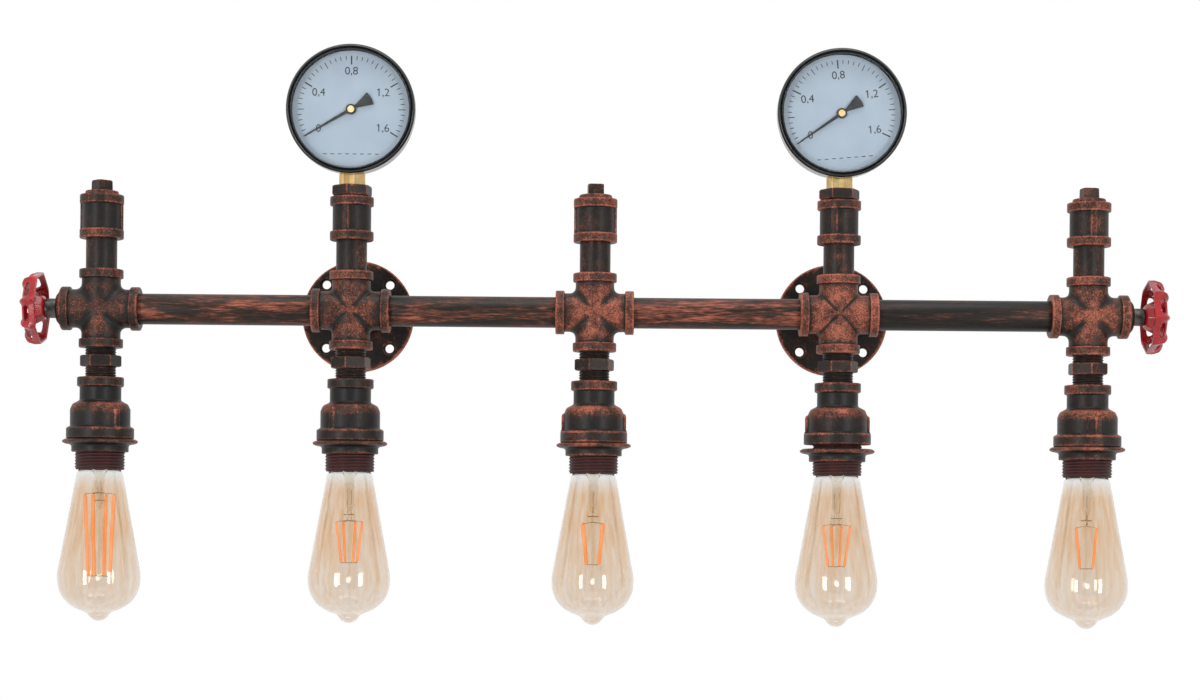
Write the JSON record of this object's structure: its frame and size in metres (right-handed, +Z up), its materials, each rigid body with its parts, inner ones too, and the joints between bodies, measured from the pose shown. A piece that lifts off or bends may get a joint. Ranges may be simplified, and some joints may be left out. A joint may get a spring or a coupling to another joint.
{
  "type": "wall lamp",
  "caption": "Wall lamp built of iron pipe fittings on a rail with wall flanges, hanging screw-in bulbs, pressure gauges and red handwheels at the ends.",
  "frame": {"origin": "on the wall plane, midway between the wall flanges, level with the rail's axis", "axes": "+X along the rail to the right, +Y into the wall, +Z up"},
  "size_m": [0.8874, 0.092, 0.4483],
  "materials": {
    "fitting_iron": "black malleable iron, brushed copper red on the beads and edges",
    "pipe_steel": "blackened steel with brushed copper streaks",
    "bakelite": "moulded red-brown phenolic, satin",
    "ring_enamel": "dark moulded ring, edge rubbed with copper paint",
    "brass": "turned brass",
    "black_enamel": "gloss black enamel",
    "window_glass": "clear flat glass",
    "dial_paint": "matt pale paint with printed ticks and numbers",
    "wire_cover": "wire insulation",
    "red_enamel": "gloss red enamel on pressed steel",
    "spindle_steel": "dark turned steel",
    "pointer_black": "matt black paint",
    "amber_glass": "thin amber blown glass",
    "filament": "glass stem with coated light filaments"
  },
  "bodies": {
    "pipework": {"cross_1": "fitting_iron", "cross_2": "fitting_iron", "cross_3": "fitting_iron", "cross_4": "fitting_iron", "cross_5": "fitting_iron", "couplings": "fitting_iron", "reducers": "fitting_iron", "wall_flange_left": "fitting_iron", "wall_flange_right": "fitting_iron", "rail_pipe_1": "pipe_steel", "rail_pipe_2": "pipe_steel", "rail_pipe_3": "pipe_steel", "rail_pipe_4": "pipe_steel", "riser_nipples": "pipe_steel", "square_plugs": "pipe_steel", "gauge_bushings": "pipe_steel", "hex_nipples": "pipe_steel", "flange_nipples": "pipe_steel", "end_bushings": "pipe_steel", "lampholder_bodies": "bakelite", "screw_shells": "brass", "centre_contacts": "brass", "gauge_sockets": "brass", "bourdon_tubes": "brass", "movement_frames": "brass", "gauge_cases": "black_enamel", "gauge_bezels": "black_enamel", "gauge_windows": "window_glass", "gauge_dials": "dial_paint", "wiring": "wire_cover"},
    "handwheel_left": {"handwheel_left": "red_enamel", "spindle_left": "spindle_steel"},
    "gauge_hand_left": {"pointer_left": "pointer_black", "pinion_left": "brass"},
    "sector_left": {"sector_left": "brass"},
    "handwheel_right": {"handwheel_right": "red_enamel", "spindle_right": "spindle_steel"},
    "gauge_hand_right": {"pointer_right": "pointer_black", "pinion_right": "brass"},
    "sector_right": {"sector_right": "brass"},
    "bulb_1": {"bulb_glass_1": "amber_glass", "bulb_cap_1": "brass", "bulb_filament_1": "filament"},
    "ring_1": {"shade_ring_1": "ring_enamel"},
    "bulb_2": {"bulb_glass_2": "amber_glass", "bulb_cap_2": "brass", "bulb_filament_2": "filament"},
    "ring_2": {"shade_ring_2": "ring_enamel"},
    "bulb_3": {"bulb_glass_3": "amber_glass", "bulb_cap_3": "brass", "bulb_filament_3": "filament"},
    "ring_3": {"shade_ring_3": "ring_enamel"},
    "bulb_4": {"bulb_glass_4": "amber_glass", "bulb_cap_4": "brass", "bulb_filament_4": "filament"},
    "ring_4": {"shade_ring_4": "ring_enamel"},
    "bulb_5": {"bulb_glass_5": "amber_glass", "bulb_cap_5": "brass", "bulb_filament_5": "filament"},
    "ring_5": {"shade_ring_5": "ring_enamel"}
  },
  "joints": [
    {"name": "handwheel_left_turn", "type": "hinge", "parent": "pipework", "child": "handwheel_left", "pos_m": [-0.431, -0.06, 0], "axis": [-1, 0, 0], "continuous": true},
    {"name": "pointer_left_turn", "type": "hinge", "parent": "pipework", "child": "gauge_hand_left", "pos_m": [-0.19, -0.06, 0.15485], "axis": [0, 1, 0], "range_deg": [0, 240], "stiffness_Nm_per_rad": 0.001},
    {"name": "sector_left_turn", "type": "hinge", "parent": "pipework", "child": "sector_left", "pos_m": [-0.19, -0.06, 0.13085], "axis": [0, 1, 0], "range_deg": [-26.7, 0.1]},
    {"name": "handwheel_right_turn", "type": "hinge", "parent": "pipework", "child": "handwheel_right", "pos_m": [0.431, -0.06, 0], "axis": [1, 0, 0], "continuous": true},
    {"name": "pointer_right_turn", "type": "hinge", "parent": "pipework", "child": "gauge_hand_right", "pos_m": [0.19, -0.06, 0.15485], "axis": [0, 1, 0], "range_deg": [0, 240], "stiffness_Nm_per_rad": 0.001},
    {"name": "sector_right_turn", "type": "hinge", "parent": "pipework", "child": "sector_right", "pos_m": [0.19, -0.06, 0.13085], "axis": [0, 1, 0], "range_deg": [-26.7, 0.1]},
    {"name": "bulb_1_unscrew", "type": "slide", "parent": "pipework", "child": "bulb_1", "axis": [0, 0, -1], "range_m": [0, 0.035]},
    {"name": "ring_1_unscrew", "type": "slide", "parent": "pipework", "child": "ring_1", "axis": [0, 0, -1], "range_m": [0, 0.012]},
    {"name": "bulb_2_unscrew", "type": "slide", "parent": "pipework", "child": "bulb_2", "axis": [0, 0, -1], "range_m": [0, 0.035]},
    {"name": "ring_2_unscrew", "type": "slide", "parent": "pipework", "child": "ring_2", "axis": [0, 0, -1], "range_m": [0, 0.012]},
    {"name": "bulb_3_unscrew", "type": "slide", "parent": "pipework", "child": "bulb_3", "axis": [0, 0, -1], "range_m": [0, 0.035]},
    {"name": "ring_3_unscrew", "type": "slide", "parent": "pipework", "child": "ring_3", "axis": [0, 0, -1], "range_m": [0, 0.012]},
    {"name": "bulb_4_unscrew", "type": "slide", "parent": "pipework", "child": "bulb_4", "axis": [0, 0, -1], "range_m": [0, 0.035]},
    {"name": "ring_4_unscrew", "type": "slide", "parent": "pipework", "child": "ring_4", "axis": [0, 0, -1], "range_m": [-0.003, 0.009]},
    {"name": "bulb_5_unscrew", "type": "slide", "parent": "pipework", "child": "bulb_5", "axis": [0, 0, -1], "range_m": [0, 0.035]},
    {"name": "ring_5_unscrew", "type": "slide", "parent": "pipework", "child": "ring_5", "axis": [0, 0, -1], "range_m": [0, 0.012]}
  ],
  "couplings": [
    {"joint": "sector_left_turn", "follows": "pointer_left_turn", "ratio": -0.11111},
    {"joint": "sector_right_turn", "follows": "pointer_right_turn", "ratio": -0.11111}
  ]
}
